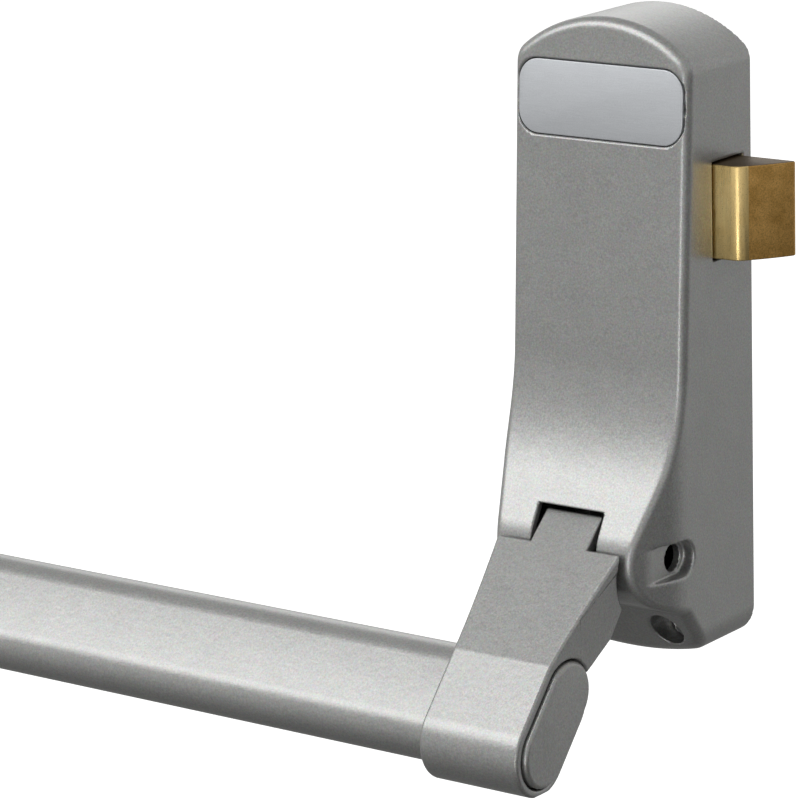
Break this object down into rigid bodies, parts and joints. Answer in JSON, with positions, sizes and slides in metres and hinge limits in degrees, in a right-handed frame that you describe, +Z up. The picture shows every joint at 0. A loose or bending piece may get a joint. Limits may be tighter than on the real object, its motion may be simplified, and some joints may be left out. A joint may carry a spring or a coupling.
{
  "type": "push bar panic exit device",
  "caption": "Surface-mounted panic exit device: a flat-oval push bar between two hinged arms draws back a side latch in its case.",
  "frame": {"origin": "on the door face, the rear face of the latch-side back plate, on that unit's centre line, at the height of the arms' pivot axis", "axes": "+Z up, -Y out of the door into the room, +X along the crossbar towards the latch bolt's end"},
  "size_m": [0.7285, 0.1204, 0.2415],
  "materials": {
    "silver_coat": "metallic silver powder coat, fine speckle, satin",
    "badge_metal": "matte silver, fine grain",
    "bolt_metal": "sintered brass, polished at the rounded front edge",
    "steel": "zinc-plated steel",
    "stop_rubber": "matte black rubber",
    "bush_bronze": "sintered bronze"
  },
  "bodies": {
    "root": {"latch_case": "silver_coat", "latch_badge": "badge_metal", "latch_back_plate": "steel", "latch_plate_screw_1": "steel", "latch_plate_screw_2": "steel", "latch_plate_screw_3": "steel", "latch_plate_screw_4": "steel", "latch_pivot_pin": "steel", "latch_arm_spring": "steel", "latch_stop_post": "steel", "latch_stop_sleeve": "stop_rubber", "hinge_case": "silver_coat", "hinge_badge": "badge_metal", "hinge_back_plate": "steel", "hinge_plate_screw_1": "steel", "hinge_plate_screw_2": "steel", "hinge_plate_screw_3": "steel", "hinge_plate_screw_4": "steel", "hinge_pivot_pin": "steel", "hinge_arm_spring": "steel", "hinge_stop_post": "steel", "hinge_stop_sleeve": "stop_rubber", "bolt_guide": "steel", "lever_pin": "steel", "lever_clip": "steel", "lever_spring": "steel", "lower_slide_guide": "steel", "upper_slide_guide": "steel", "slide_spring": "steel"},
    "push_bar": {"latch_arm": "silver_coat", "hinge_arm": "silver_coat", "crossbar": "silver_coat", "latch_end_cap": "silver_coat", "latch_grub_screw": "steel", "latch_inner_bush": "bush_bronze", "latch_outer_bush": "bush_bronze", "hinge_end_cap": "silver_coat", "hinge_grub_screw": "steel", "hinge_inner_bush": "bush_bronze", "hinge_outer_bush": "bush_bronze"},
    "bolt": {"latch_bolt": "bolt_metal"},
    "lever": {"bolt_lever": "steel"},
    "slide": {"lift_slide": "steel"}
  },
  "joints": [
    {"name": "bar_push", "type": "hinge", "parent": "root", "child": "push_bar", "pos_m": [0, -0.0432, 0], "axis": [1, 0, 0], "range_deg": [0, 25], "stiffness_Nm_per_rad": 1.6, "springref_deg": -68.75},
    {"name": "slide_lift", "type": "slide", "parent": "root", "child": "slide", "axis": [0, 0, 1], "range_m": [0, 0.0068], "deforming": ["slide_spring"]},
    {"name": "lever_turn", "type": "hinge", "parent": "root", "child": "lever", "pos_m": [-0.014, -0.0105, 0.08], "axis": [0, -1, 0], "range_deg": [0, 36]},
    {"name": "bolt_draw", "type": "slide", "parent": "root", "child": "bolt", "axis": [-1, 0, 0], "range_m": [0, 0.0205]}
  ],
  "couplings": [
    {"joint": "slide_lift", "follows": "bar_push", "m_per_rad": 0.0154},
    {"joint": "lever_turn", "follows": "bar_push", "ratio": 1.432},
    {"joint": "bolt_draw", "follows": "bar_push", "m_per_rad": 0.04695}
  ]
}
